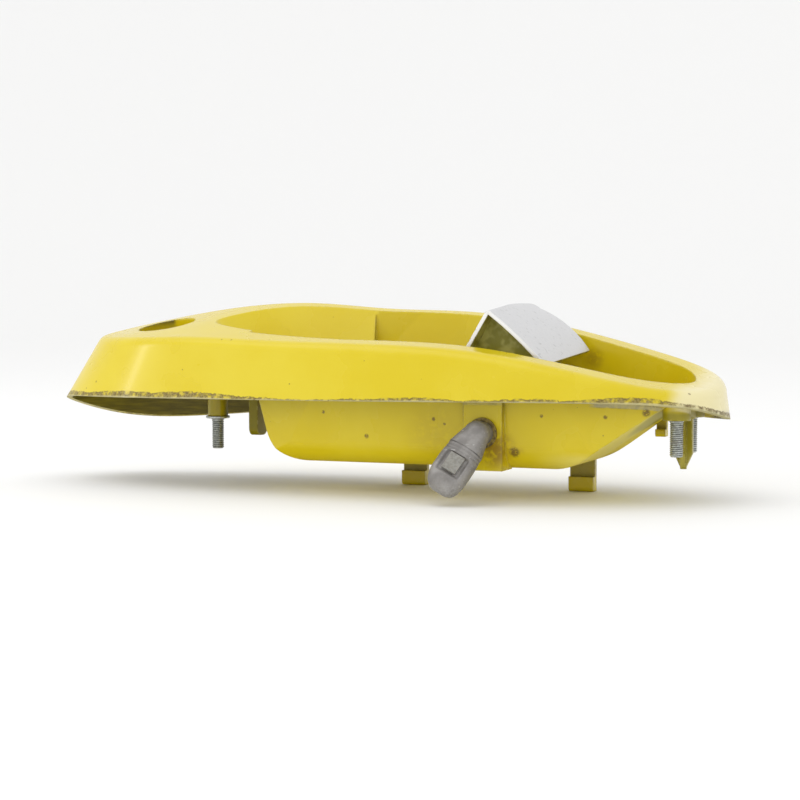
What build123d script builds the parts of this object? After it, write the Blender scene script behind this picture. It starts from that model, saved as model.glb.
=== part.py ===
from build123d import *
import math
import os

os.makedirs("parts", exist_ok=True)

# Frame: X runs along the pod from its thick end to its low end, +Z points out of the body panel along
# the studs, and -Y is the side the crank lever is on. The sizes below are laid out from a working
# origin at panel level under the bowl; every node is moved at export so that the row's origin is the
# locating peg's axis, midway between the two end studs, at the height of their boss faces.

# ---- pod shell ----
wall = 2.5                # thickness of the moulding
pod_centre = 25.0         # X of the widest station
pod_left = 177.4          # reach of the skirt foot from that station to the thick end
pod_right = 105.4         # reach to the low end
pod_near = 43.0           # reach to the near side
pod_far = 47.0            # reach to the far side
draft_left = 0.66         # inward lean of the skirt per unit of height, thick end
draft_right = 0.12        # the same at the low end
draft_side = 0.25         # the same along the sides
shoulder_radius = 5.0     # rounding between skirt and crown
# stations along the crown: X, height above the middle line, rise per unit of Y
crown = ((-170, 17.0, 0.10), (-138, 25.2, 0.16), (-107, 29.4, 0.20), (-78, 31.8, 0.235),
         (-52, 31.9, 0.245), (-20, 30.2, 0.20), (15, 29.1, 0.185), (45, 26.2, 0.165),
         (78, 19.5, 0.15), (105, 13.1, 0.16), (122, 9.4, 0.17), (140, 5.6, 0.17))
# body panel under the skirt foot: Y and height at the thick end, at the start of the bowl, at the low end
panel_thick_end = ((-60, -2.0), (-30, -0.2), (0, -3.0), (28, -15.0), (60, -29.0))
panel_middle = ((-60, -0.5), (-30, 0.8), (0, -1.5), (28, -5.0), (60, -9.5))
panel_low_end = ((-60, 2.4), (-30, 1.6), (-8, -3.0), (14, -6.6), (60, -8.8))

# ---- finger recess ----
recess_centre = 20.0      # X of its widest station
recess_left = 102.0       # reach of the opening to the thick end
recess_right = 99.5      # reach to the low end
recess_near = 28.0        # reach to the near rim
recess_far = 27.5         # reach to the far rim
recess_rim = 25.0         # height those reaches are taken at
recess_draft = 0.09       # lean of the recess walls
bowl_floor = -21.4        # inside floor of the deep part
bowl_left = -48.5         # X of the deep part's end wall at height 0
bowl_left_lean = 0.32     # lean of that wall
bowl_left_radius = 15.0   # radius from that wall into the floor
ramp_foot = 76.5          # X where the ramp leaves the floor
ramp_angle = 35.0         # climb of the ramp in degrees
ramp_radius = 26.0        # radius from floor to ramp
bowl_side_radius = 8.0    # radius from the long walls into the floor
scoop_floor = 4.0         # height where the scoop drops into the deep part
scoop_end = -20.0         # X where the scoop stops
scoop_lean = 0.85         # lean of the scoop's end wall
scoop_side_lean = 0.42    # lean of its long walls
scoop_step = 6.5          # how far the deep part's far wall stands behind the scoop
scoop_step_angle = 15.0   # slant of the deep part's far wall beside the scoop

# ---- lock bore ----
lock_x = -107.0
lock_y = 2.0
lock_radius = 12.0
lock_boss_length = 16.0
lock_tilt_y = 6.0         # lean of the bore along the pod, degrees
lock_tilt_x = 10.0        # lean of the bore across the pod, degrees

# ---- studs and stud bosses ----
stud_radius = 2.5
stud_length = 13.6        # from boss face to tip
stud_embed = 6.0          # moulded into the boss
stud_collar_radius = 2.7  # plain collar above the thread
stud_collar = 0.5         # how far the collar stands out of the boss or the washer
stud_head_radius = 3.4
stud_head_height = 2.0
left_stud_x = -82.0
left_boss_radius = 4.2
left_boss_face = -8.1
right_stud_x = 115.0
right_stud_pitch = 24.0   # across the pod
right_boss_radius = 5.2
right_boss_face = -4.7
washer_radius = 5.0
washer_thickness = 1.0
stud_gap = 0.05           # radial room of the washer round the stud's collar

# ---- locating peg, leg and snap hooks ----
peg_width = 7.0
peg_blade = 2.2
peg_tip = -23.7
peg_point = 6.0           # length of the tapered point
leg_x = -65.8
leg_y = 5.0
leg_thickness = 4.0
leg_depth = 9.0
leg_tip = -16.0
hook_y = 23.0
hook_stem = 2.6
hook_barb = 2.4
hook_tip = -36.0
hook_barb_height = 5.8
hook_one_x = -2.4
hook_two_x = 69.1
hook_width = 10.2
small_hook_x = 101.0
small_hook_width = 4.0
small_hook_tip = -13.4

# ---- pivot ----
pivot_x = 45.6
pivot_z = -10.0
shaft_radius = 3.0
running_gap = 0.05        # radial clearance of everything that turns
press_gap = 0.02          # radial clearance of everything pressed together
side_gap = 0.4            # clearance between parts that pass each other
bush_wall = 1.0
bush_flange = 1.2         # extra radius of the bush flange
bush_flange_thickness = 1.0
pad_face = -30.6          # Y of the flat pad round the near bearing
pad_width = 15.5
pad_bottom = -24.2
far_boss_face = 30.5      # Y of the flat end of the far bearing
spigot_end = -18.4        # inner end of the lever spigot
hub_radius = 4.5          # outer radius of the lever's spigot in the near bush

# ---- paddle ----
paddle_half_width = 21.6
paddle_sheet = 2.0
# X and height of the ridge, of the long face's foot and of the short face's foot, near edge then far edge
paddle_ridge = ((44.3, 35.6), (45.1, 39.6))
paddle_back = ((67.2, 15.6), (72.2, 20.0))
paddle_lip = ((29.2, 11.0), (29.0, 13.0))
paddle_bulge = (0.9, 2.2)  # convexity of the long face, near edge then far edge
ridge_radius = 1.2
paddle_rib = 3.0          # thickness of the two webs down to the hub
paddle_rib_y = 13.0
paddle_hub_radius = 5.4
paddle_hub_end = 16.8     # Y of either end of the hub
tail_half = 2.5           # half thickness of the stop tail
tail_reach = 9.2          # length of the stop tail below the axis
tail_width = 10.0
pin_radius = 1.25
pin_length = 10.2
lever_pin_length = 8.8

# ---- crank lever ----
arm_dx = -11.8
arm_dy = -13.5
arm_dz = -22.4
arm_width = 13.8
arm_depth = 9.0
arm_corner = 3.9
elbow_y = -37.0           # Y of the elbow's middle
elbow_radius = 5.0
collar_start = 7.5        # distance of the sleeve joint from the elbow
arm_length = 26.6         # from the elbow to the foot
sleeve_gap = 0.05
neck_width = 9.0          # tongue that carries the sleeve
neck_depth = 5.6
neck_length = 14.0
window_width = 6.6
window_length = 7.6
window_depth = 1.6
window_middle = 15.0      # distance of the window from the elbow
clip_gap = 0.3
clip_height = 1.5
clip_pin_radius = 0.9

# ---- seal, spring, stop and end fixing ----
seal_thickness = 0.9
seal_lip = 1.3
wire_radius = 0.7
spring_radius = 5.2
spring_turns = 2.5
spring_pitch = 1.6
spring_start = 17.9       # Y of the first turn
spring_leg = 8.0          # length of each straight end
spring_turn = 90.0         # turn of the whole spring about its axis
buffer_radius = 2.0
buffer_length = 2.6
buffer_stem = 0.9
buffer_gap = 0.3
stop_rib = 3.2            # thickness of the rib the buffer is set in
stop_width = 9.0
stop_top = -14.8
washer_sheet = 0.7
clip_sheet = 0.8
clip_groove = 0.5
clip_ring = 1.8


def almond(centre, left, right, near, far, z, blunt=2.6, point=2.0, grow=0.0):
    """Closed outline at height z from two half superellipses joined at the widest station."""
    count = 14
    points = []
    for i in range(count):
        turn = 2 * math.pi * i / count
        c = math.cos(turn)
        s = math.sin(turn)
        power = blunt if c > 0 else point
        scale = (abs(c) ** power + abs(s) ** power) ** (-1 / power)
        reach = (right if c > 0 else left) + grow
        width = (far if s > 0 else near) + grow
        points.append((centre + reach * c * scale, width * s * scale, z))
    return make_face(Spline(*points, periodic=True))


def skirt(grow):
    """Drafted body of the pod, grow changes every reach."""
    faces = []
    for z in (-28.0, 46.0):
        faces.append(almond(pod_centre, pod_left - draft_left * z, pod_right - draft_right * z,
                            pod_near - draft_side * z, pod_far - draft_side * z, z,
                            point=2.3, grow=grow))
    return loft(faces, ruled=True)


def under_crown(drop):
    """Everything below the crown surface lowered by drop."""
    faces = []
    for y in (-60.0, 60.0):
        top = [(x, y, z + rise * y - drop) for x, z, rise in crown]
        first = top[0]
        last = top[-1]
        edges = [Spline(*top),
                 Line(last, (last[0], y, -60)),
                 Line((last[0], y, -60), (first[0], y, -60)),
                 Line((first[0], y, -60), first)]
        faces.append(make_face(edges))
    return loft(faces, ruled=True)


def body_panel():
    """Everything below the surface the skirt foot rests on, through three cross profiles."""
    faces = []
    for x, profile in ((-180.0, panel_thick_end), (-60.0, panel_middle), (150.0, panel_low_end)):
        top = [(x, y, z) for y, z in profile]
        edges = [Spline(*top),
                 Line(top[-1], (x, 60, -60)),
                 Line((x, 60, -60), (x, -60, -60)),
                 Line((x, -60, -60), top[0])]
        faces.append(make_face(edges))
    return loft(faces)


def bowl_prism(grow):
    """Side profile of the deep part pulled across the pod: end wall, floor and ramp with their radii."""
    floor = bowl_floor - grow
    slope = math.tan(math.radians(ramp_angle))
    shift = grow / math.sin(math.radians(ramp_angle))
    foot = ramp_foot + shift - grow / slope
    left_top = bowl_left - grow - bowl_left_lean * 60
    left_foot = bowl_left - grow - bowl_left_lean * floor
    right_top = foot + (60 - floor) / slope
    outline = Polyline((left_top, 60), (left_foot, floor), (foot, floor), (right_top, 60), close=True)
    face = make_face(outline)
    corners = face.vertices().sort_by(Axis.Y)[:2].sort_by(Axis.X)
    face = fillet(corners[0], bowl_left_radius + grow)
    foot_corner = [v for v in face.vertices() if abs(v.X - foot) < 0.01 and abs(v.Y - floor) < 0.01]
    face = fillet(foot_corner, ramp_radius + grow)
    prism = extrude(Plane.XZ * face, amount=80, both=True)
    return prism


def bowl_trough(grow):
    """Cross profile of the deep part pulled along the pod: leaning side walls and rounded floor edges."""
    floor = bowl_floor - grow
    near_foot = -(recess_near + grow) + (recess_rim - floor) * recess_draft
    far_foot = recess_far + grow - (recess_rim - floor) * recess_draft
    near_top = -(recess_near + grow) - (60 - recess_rim) * recess_draft
    far_top = recess_far + grow + (60 - recess_rim) * recess_draft
    outline = Polyline((near_top, 60), (near_foot, floor), (far_foot, floor), (far_top, 60), close=True)
    face = make_face(outline)
    face = fillet(face.vertices().sort_by(Axis.Y)[:2], bowl_side_radius + grow)
    return extrude(Plane.YZ * face, amount=160, both=True)


def recess(grow):
    """Deep part of the recess, from under the floor to well above the crown."""
    plan = almond(recess_centre, recess_left, recess_right, recess_near + 1.5, recess_far + 1.5,
                  -40.0, blunt=2.4, grow=grow)
    body = extrude(plan, amount=100, dir=(0, 0, 1))
    body = body & bowl_prism(grow) & bowl_trough(grow)
    wedge = Pos(scoop_end - grow, recess_far - scoop_step + grow, 0) * Rot(0, 0, scoop_step_angle)
    return body - wedge * Pos(-100, 50, 0) * Box(200, 100, 160)


def scoop(grow):
    """Shallow scoop that leads the fingers from the thick end into the deep part."""
    faces = []
    for z in (-10.0, 60.0):
        lean = (z - recess_rim - 6.0) * scoop_lean
        side = (z - recess_rim - 6.0) * scoop_side_lean
        faces.append(almond(recess_centre, recess_left + lean * 1.1, recess_right + lean,
                            recess_near + side, recess_far + side, z, grow=grow))
    body = loft(faces, ruled=True)
    keep = Pos(scoop_end - 100 + grow / 2, 0, scoop_floor + 50 - grow) * Box(200 + grow, 120, 100)
    return body & keep


def post(x, y, radius, face):
    """Round boss from the crown down to its flat face."""
    return Pos(x, y, face) * extrude(Circle(radius), amount=60)


def peg():
    """Cruciform locating peg with a tapered point."""
    half = peg_width / 2
    foot = right_boss_face + 4
    blade = Polyline((-half, foot), (half, foot), (half, peg_tip + peg_point),
                     (0.7, peg_tip), (-0.7, peg_tip), (-half, peg_tip + peg_point), close=True)
    flat = extrude(Plane.XZ * make_face(blade), amount=peg_blade / 2, both=True)
    cross = flat + Rot(0, 0, 90) * flat
    return Pos(right_stud_x, 0, 0) * cross


def hook(x, width, tip, root):
    """Snap hook: a flat stem with a barb toward the near side."""
    low = tip
    step = tip + hook_barb_height * (1.0 if width > 6 else 0.5)
    near = hook_y - hook_barb
    back = hook_y + hook_stem
    side = Polyline((hook_y, root), (back, root), (back, low), (near + 0.8, low),
                    (near, low + 1.0), (near, step), (hook_y, step), close=True)
    return Pos(x, 0, 0) * extrude(Plane.YZ * make_face(side), amount=width / 2, both=True)


def leg():
    """Flat leg with a rounded foot under the scoop."""
    blank = Pos(leg_x, leg_y, (leg_tip + 30) / 2) * Box(leg_thickness, leg_depth, 30 - leg_tip)
    foot = blank.edges().filter_by(Axis.X).sort_by(Axis.Z)[:2]
    return fillet(foot, 3.2)


def bearing(y_in, y_out, radius):
    """Round bar along the pivot axis between two Y values."""
    length = abs(y_out - y_in)
    middle = (y_in + y_out) / 2
    return Pos(pivot_x, middle, pivot_z) * Rot(90, 0, 0) * Cylinder(radius, length)


def lock_axis():
    """Frame of the lock bore: origin on the crown, Z out of the bore."""
    return Pos(lock_x, lock_y, 29) * Rot(lock_tilt_x, lock_tilt_y, 0)


def housing_solids():
    """What stays inside the hollow of the pod: bowl, scoop, pad, bearings, bosses and leg."""
    solids = [recess(wall), scoop(wall)]
    solids.append(Pos(pivot_x, pad_face + 6, (pad_bottom + 14) / 2) * Box(pad_width, 12, 14 - pad_bottom))
    solids.append(bearing(20, far_boss_face, shaft_radius + bush_wall + 3.0))
    solids.append(post(left_stud_x, 0, left_boss_radius, left_boss_face))
    for side in (-1, 1):
        solids.append(post(right_stud_x, side * right_stud_pitch / 2, right_boss_radius, right_boss_face))
    solids.append(post(right_stud_x, 0, peg_width / 2 + 1, right_boss_face))
    solids.append(leg())
    sleeve = Cylinder(lock_radius + wall, lock_boss_length)
    solids.append(lock_axis() * Pos(0, 0, -lock_boss_length / 2) * sleeve)
    return solids


def make_housing():
    block = skirt(0) & under_crown(0)
    rim = [e for e in block.edges() if e.center().Z > 5 and e.length > 60]
    block = fillet(rim, shoulder_radius)
    hollow = skirt(-wall) & under_crown(wall)
    panel = body_panel()
    for solid in housing_solids():
        hollow = hollow - solid
        panel = panel - solid
    block = block - panel
    block = block - hollow
    block = block + hook(hook_one_x, hook_width, hook_tip, -8)
    block = block + hook(hook_two_x, hook_width, hook_tip, -8)
    block = block + hook(small_hook_x, small_hook_width, small_hook_tip, -1)
    block = block - scoop(0)
    block = block - recess(0)
    block = block - lock_axis() * Cylinder(lock_radius, 80)
    block = block + peg()
    rib_x = pivot_x + tail_half + buffer_gap + buffer_length + stop_rib / 2
    rib_low = bowl_floor - wall / 2
    rib = Pos(rib_x, 0, (rib_low + stop_top) / 2) * Box(stop_rib, stop_width, stop_top - rib_low)
    block = block + rib
    stem = Pos(rib_x, 0, buffer_z()) * Rot(0, 90, 0) * Cylinder(buffer_stem + press_gap, stop_rib + 1)
    block = block - stem
    block = block - bearing(-60, -15, hub_radius + bush_wall + press_gap)
    block = block - bearing(15, 34, shaft_radius + bush_wall + press_gap)
    for x, y, face in stud_places():
        block = block - Pos(x, y, face) * extrude(Circle(stud_collar_radius + press_gap), amount=stud_embed)
        head = Circle(stud_head_radius + press_gap)
        block = block - Pos(x, y, face + stud_embed - stud_head_height) * extrude(head, amount=stud_head_height)
    return block


def buffer_z():
    """Height of the buffer's middle."""
    return stop_top - buffer_radius - 0.4


def stud_places():
    """Axis and boss face of every stud."""
    half = right_stud_pitch / 2
    return ((left_stud_x, 0, left_boss_face), (right_stud_x, -half, right_boss_face),
            (right_stud_x, half, right_boss_face))


def make_stud(x, y, face):
    """Stud moulded into its boss by a round head, with a plain collar and then the thread's outer diameter."""
    drop = stud_collar + (washer_thickness if x == left_stud_x else 0)
    shank = Pos(0, 0, -stud_length) * extrude(Circle(stud_radius), amount=stud_length)
    tip = shank.edges().filter_by(GeomType.CIRCLE).sort_by(Axis.Z)[0]
    shank = chamfer(tip, 0.5)
    shank = shank + Pos(0, 0, -drop) * extrude(Circle(stud_collar_radius), amount=drop + stud_embed)
    head = Pos(0, 0, stud_embed - stud_head_height) * extrude(Circle(stud_head_radius), amount=stud_head_height)
    return Pos(x, y, face) * (shank + head)


def make_washer():
    """Push-on washer under the boss of the single stud, domed a little by a chamfer."""
    bore = stud_collar_radius + stud_gap
    ring = extrude(Circle(washer_radius) - Circle(bore), amount=washer_thickness)
    rim = ring.edges().filter_by(GeomType.CIRCLE).sort_by(SortBy.RADIUS)[-2:]
    ring = chamfer(rim, 0.25)
    return Pos(left_stud_x, 0, left_boss_face - washer_thickness - 0.02) * ring


def cap_outline(y, drop):
    """Lip, ridge, middle and back of the paddle's cap at one Y, moved inward by drop."""
    share = (y + paddle_half_width) / (2 * paddle_half_width)
    lip, ridge, back = [Vector(*near) + (Vector(*far) - Vector(*near)) * share
                        for near, far in (paddle_lip, paddle_ridge, paddle_back)]
    bulge = paddle_bulge[0] + (paddle_bulge[1] - paddle_bulge[0]) * share
    rise = (ridge - lip).normalized()
    fall = (back - ridge).normalized()
    into_short = Vector(rise.Y, -rise.X)
    into_long = Vector(fall.Y, -fall.X)
    corner = (into_short + into_long) * (drop / (1 + into_short.dot(into_long)))
    middle = (ridge + back) * 0.5 + into_long * (drop - bulge)
    flat = (lip + into_short * drop, ridge + corner, middle, back + into_long * drop)
    return [Vector(p.X, y, p.Y) for p in flat]


def cap_face(y):
    """Section of the paddle's cap at one Y."""
    lip, ridge, middle, back = cap_outline(y, 0)
    lip_in, ridge_in, middle_in, back_in = cap_outline(y, paddle_sheet)
    return make_face([Line(lip, ridge), ThreePointArc(ridge, middle, back), Line(back, back_in),
                      ThreePointArc(back_in, middle_in, ridge_in), Line(ridge_in, lip_in), Line(lip_in, lip)])


def paddle_web(y):
    """Web from the inside of the cap down to the hub."""
    lip, ridge, middle, back = cap_outline(y - paddle_rib / 2, paddle_sheet / 2)
    foot = Vector(lip.X * 0.62 + ridge.X * 0.38, lip.Y, lip.Z * 0.62 + ridge.Z * 0.38)
    low = Vector(middle.X * 0.2 + back.X * 0.8, back.Y, middle.Z * 0.2 + back.Z * 0.8)
    half = paddle_hub_radius - 0.5
    right = Vector(pivot_x + half, lip.Y, pivot_z)
    left = Vector(pivot_x - half, lip.Y, pivot_z)
    return extrude(make_face(Polyline(foot, ridge, middle, low, right, left, close=True)),
                   amount=paddle_rib, dir=(0, 1, 0))


def make_paddle():
    """Die-cast paddle: a ridged cap on two webs, a hub round the shaft and a stop tail."""
    cap = loft([cap_face(-paddle_half_width), cap_face(paddle_half_width)], ruled=True)
    ridge = cap.edges().filter_by(lambda e: e.length > 40).sort_by(Axis.Z)[-1]
    body = fillet(ridge, ridge_radius)
    for side in (-1, 1):
        body = body + paddle_web(side * paddle_rib_y)
    tail = Pos(pivot_x, 0, pivot_z - tail_reach / 2) * Box(2 * tail_half, tail_width, tail_reach)
    body = body + bearing(-paddle_hub_end, paddle_hub_end, paddle_hub_radius) + tail
    body = body - bearing(-30, 30, shaft_radius + press_gap)
    for y in pin_places():
        body = body - Pos(pivot_x, y, pivot_z) * Cylinder(pin_radius + press_gap, 40)
    return body


def pin_places():
    """Y of the two pins through the paddle hub."""
    return (-9.0, 9.0)


def lever_pin_y():
    """Y of the pin through the lever spigot, between paddle hub and bowl wall."""
    return (spigot_end - paddle_hub_end) / 2 - 3.6


def circlip_y():
    """Y of the circlip's inner face."""
    return far_boss_face + 0.15 + washer_sheet + 0.1


def make_shaft():
    """Steel pivot shaft with cross holes for the pins and a groove for the circlip."""
    end = circlip_y() + clip_sheet + 1.4
    shaft = bearing(elbow_y + 4.2, end, shaft_radius)
    groove = bearing(circlip_y(), circlip_y() + clip_sheet, shaft_radius + 1)
    groove = groove - bearing(circlip_y() - 1, circlip_y() + 3, shaft_radius - clip_groove)
    shaft = shaft - groove
    for y in (*pin_places(), lever_pin_y()):
        shaft = shaft - Pos(pivot_x, y, pivot_z) * Cylinder(pin_radius + press_gap, 20)
    return shaft


def make_pin(y, length):
    """Slotted roll pin across the shaft."""
    ring = Circle(pin_radius) - Circle(pin_radius - 0.45) - Pos(pin_radius, 0) * Rectangle(pin_radius, 0.5)
    return Pos(pivot_x, y, pivot_z - length / 2) * extrude(ring, amount=length)


def arm_frame():
    """Frame at the elbow: Z along the arm, Y out of its broad face."""
    along = Vector(arm_dx, arm_dy, arm_dz).normalized()
    out = Vector(0, -1, 0)
    out = (out - along * out.dot(along)).normalized()
    return Plane(origin=(pivot_x, elbow_y, pivot_z), x_dir=out.cross(along), z_dir=along)


def make_crank_boss():
    """Die-cast boss of the lever: spigot in the bush, domed elbow and the tongue that carries the sleeve."""
    spigot = bearing(spigot_end, elbow_y, hub_radius)
    elbow = Pos(pivot_x, elbow_y, pivot_z) * Sphere(elbow_radius)
    frame = arm_frame()
    root = frame * Circle(elbow_radius)
    end = Plane(frame.origin + frame.z_dir * collar_start, x_dir=frame.x_dir, z_dir=frame.z_dir)
    wide = end * RectangleRounded(arm_width, arm_depth, arm_corner)
    neck = loft([root, wide])
    tongue = extrude(end * RectangleRounded(neck_width, neck_depth, 1.2), amount=neck_length)
    body = spigot + elbow + neck + tongue
    body = body - bearing(spigot_end + 1, elbow_y + 4.1, shaft_radius + press_gap)
    body = body - Pos(pivot_x, lever_pin_y(), pivot_z) * Cylinder(pin_radius + press_gap, 20)
    return body - clip_pin(press_gap)


def make_crank_sleeve():
    """Die-cast end of the lever, pushed over the tongue, with a window for the rod clip and a rounded foot."""
    frame = arm_frame()
    start = Plane(frame.origin + frame.z_dir * (collar_start + 0.05), x_dir=frame.x_dir, z_dir=frame.z_dir)
    body = extrude(start * RectangleRounded(arm_width + 0.5, arm_depth + 0.4, arm_corner),
                   amount=arm_length - collar_start)
    foot = body.edges().sort_by(lambda e: (e.center() - frame.origin).dot(frame.z_dir))[-8:]
    body = fillet(foot, 2.0)
    hole = RectangleRounded(neck_width + 2 * sleeve_gap, neck_depth + 2 * sleeve_gap, 1.2)
    body = body - extrude(start * hole, amount=neck_length + 0.3)
    body = body - window_box(0)
    return body - clip_pin(press_gap)


def window_box(shrink):
    """Shallow window in the broad face of the sleeve, or the clip's block when shrunk."""
    frame = arm_frame()
    out = frame.y_dir
    if out.Y > 0:
        out = out * -1
    middle = frame.origin + frame.z_dir * window_middle
    face = middle + out * ((arm_depth + 0.4) / 2 - window_depth)
    base = Plane(face, x_dir=frame.x_dir, z_dir=out)
    plan = Rectangle(window_width - 2 * shrink, window_length - 2 * shrink)
    depth = 4.0 if shrink == 0 else clip_height
    return extrude(base * plan, amount=depth)


def clip_pin(extra):
    """Pin across the sleeve and tongue."""
    frame = arm_frame()
    middle = frame.origin + frame.z_dir * (window_middle + 0.5)
    axis = Plane(middle, x_dir=frame.z_dir, z_dir=frame.x_dir)
    return extrude(axis * Circle(clip_pin_radius + extra), amount=arm_width / 2 + 0.1, both=True)


def make_near_bush():
    """Plain bush pressed into the pad."""
    outer = hub_radius + bush_wall
    return bearing(pad_face + 0.3, -25.4, outer) - bearing(-60, 0, hub_radius + running_gap)


def make_far_bush():
    """Plain bush pressed into the far boss."""
    outer = shaft_radius + bush_wall
    return bearing(26.4, far_boss_face - 0.1, outer) - bearing(0, 60, shaft_radius + running_gap)


def make_seal():
    """Rubber dust ring between the pad and the elbow."""
    outer = hub_radius + seal_lip
    ring = bearing(pad_face - 0.05, pad_face - 0.05 - seal_thickness, outer)
    return ring - bearing(-60, 0, hub_radius + press_gap)


def make_end_washer():
    """Plain washer between the far boss and the circlip."""
    ring = bearing(far_boss_face + 0.15, far_boss_face + 0.15 + washer_sheet, shaft_radius + 2.6)
    return ring - bearing(0, 60, shaft_radius + running_gap)


def make_circlip():
    """External circlip in the shaft groove, open on one side with two eyes."""
    near = circlip_y() + 0.03
    far = circlip_y() + clip_sheet - 0.03
    ring = bearing(near, far, shaft_radius - clip_groove + press_gap + clip_ring)
    ring = ring - bearing(0, 60, shaft_radius - clip_groove + press_gap)
    gap = Pos(pivot_x, circlip_y(), pivot_z + 4) * Box(2.2, 5, 8)
    ring = ring - gap
    for side in (-1, 1):
        eye = Pos(pivot_x + side * 2.1, (near + far) / 2, pivot_z + 4.2) * Rot(90, 0, 0)
        ring = ring + eye * Cylinder(1.05, far - near)
        ring = ring - eye * Cylinder(0.45, 4)
    return ring


def make_spring():
    """Torsion spring round the shaft between the paddle hub and the far wall, one leg on each."""
    helix = Helix(pitch=spring_pitch, height=spring_pitch * spring_turns, radius=spring_radius)
    lead = Line(helix @ 0 - (helix % 0) * spring_leg, helix @ 0)
    tail = Line(helix @ 1, helix @ 1 + (helix % 1) * spring_leg)
    path = Wire([lead, helix, tail])
    wire = sweep(Plane(path @ 0, z_dir=path % 0) * Circle(wire_radius), path=path, is_frenet=True)
    return Pos(pivot_x, spring_start, pivot_z) * Rot(-90, 0, 0) * Rot(0, 0, spring_turn) * wire


def make_buffer():
    """Rubber stop set in its rib by a round stem."""
    x = pivot_x + tail_half + buffer_gap
    head = Pos(x + buffer_length / 2, 0, buffer_z()) * Rot(0, 90, 0) * Cylinder(buffer_radius, buffer_length)
    reach = stop_rib + 0.8
    stem = Pos(x + buffer_length + reach / 2, 0, buffer_z()) * Rot(0, 90, 0) * Cylinder(buffer_stem, reach)
    return head + stem


nodes = {"housing": make_housing()}
for name, place in zip(("left_stud", "right_near_stud", "right_far_stud"), stud_places()):
    nodes[name] = make_stud(*place)
nodes["left_washer"] = make_washer()
nodes["paddle"] = make_paddle()
nodes["pivot_shaft"] = make_shaft()
nodes["near_bush"] = make_near_bush()
nodes["far_bush"] = make_far_bush()
nodes["pivot_seal"] = make_seal()
nodes["crank_boss"] = make_crank_boss()
nodes["crank_sleeve"] = make_crank_sleeve()
nodes["rod_clip"] = window_box(clip_gap)
nodes["rod_clip_pin"] = clip_pin(0)
nodes["lever_pin"] = make_pin(lever_pin_y(), lever_pin_length)
for name, y in zip(("paddle_near_pin", "paddle_far_pin"), pin_places()):
    nodes[name] = make_pin(y, pin_length)
nodes["end_washer"] = make_end_washer()
nodes["circlip"] = make_circlip()
nodes["return_spring"] = make_spring()
nodes["stop_buffer"] = make_buffer()

to_row = Pos(-right_stud_x, 0, -right_boss_face)
for name, solid in nodes.items():
    print(name, "solids", len(solid.solids()), "volume", round(solid.volume, 1))
    export_step(to_row * solid, "parts/" + name + ".step")
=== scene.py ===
import math

import bpy
import numpy as np
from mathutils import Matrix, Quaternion, Vector


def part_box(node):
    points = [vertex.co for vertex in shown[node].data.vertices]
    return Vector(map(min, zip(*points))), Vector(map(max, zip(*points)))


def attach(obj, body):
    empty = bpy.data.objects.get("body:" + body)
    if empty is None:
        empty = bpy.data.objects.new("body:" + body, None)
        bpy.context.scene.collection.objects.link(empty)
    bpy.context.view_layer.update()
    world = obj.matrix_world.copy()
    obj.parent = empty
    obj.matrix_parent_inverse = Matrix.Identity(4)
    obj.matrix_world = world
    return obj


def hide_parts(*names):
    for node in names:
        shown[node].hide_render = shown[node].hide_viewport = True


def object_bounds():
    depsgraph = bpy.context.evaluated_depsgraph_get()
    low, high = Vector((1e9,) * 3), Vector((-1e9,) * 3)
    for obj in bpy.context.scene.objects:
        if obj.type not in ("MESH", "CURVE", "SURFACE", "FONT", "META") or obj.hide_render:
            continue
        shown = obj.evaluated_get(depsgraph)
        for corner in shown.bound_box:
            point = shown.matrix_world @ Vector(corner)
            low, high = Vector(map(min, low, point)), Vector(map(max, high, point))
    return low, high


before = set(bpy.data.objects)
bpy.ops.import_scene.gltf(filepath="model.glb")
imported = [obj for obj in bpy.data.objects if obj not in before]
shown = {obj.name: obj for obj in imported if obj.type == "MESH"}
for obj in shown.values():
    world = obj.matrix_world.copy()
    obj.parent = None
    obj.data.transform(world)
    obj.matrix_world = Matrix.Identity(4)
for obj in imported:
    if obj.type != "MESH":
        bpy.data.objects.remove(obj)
cad_low, cad_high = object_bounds()

# ---- Studio sweep -----------------------------------------------------------------------------
# A pale seamless sheet that the pod stands on by its snap hooks and its lever; it runs level and
# then curves up behind. It is scenery and not a part of the pod.


def fill_mesh(name, points, faces, smooth=True):
    """Makes an object from points and faces; nothing is moved or turned after."""
    mesh = bpy.data.meshes.new(name)
    mesh.from_pydata(points.reshape(-1, 3).tolist(), [], faces.tolist())
    mesh.polygons.foreach_set("use_smooth", np.full(len(mesh.polygons), smooth))
    mesh.update()
    made = bpy.data.objects.new(name, mesh)
    bpy.context.scene.collection.objects.link(made)
    return made


def grid_faces(rows, columns, wrap=False):
    """Quads between neighbours of a rows x columns grid; wrap joins the last column to the first."""
    across = columns if wrap else columns - 1
    row, column = np.meshgrid(np.arange(rows - 1), np.arange(across), indexing="ij")
    beside = (column + 1) % columns
    corners = (row * columns + column, row * columns + beside,
               (row + 1) * columns + beside, (row + 1) * columns + column)
    return np.stack(corners, -1).reshape(-1, 4)


def add(finish, kind, *given, **settings):
    """Adds one node. Values, sockets or nodes given go to its inputs in order, and None skips one."""
    made = finish.nodes.new("ShaderNode" + kind)
    for name, value in settings.items():
        setattr(made, name, value)
    for socket, value in zip(made.inputs, given):
        if isinstance(value, bpy.types.Node):
            value = value.outputs[2 if value.bl_idname == "ShaderNodeMix" else 0]
        if isinstance(value, bpy.types.NodeSocket):
            finish.links.new(value, socket)
        elif value is not None:
            socket.default_value = value
    return made


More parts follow.
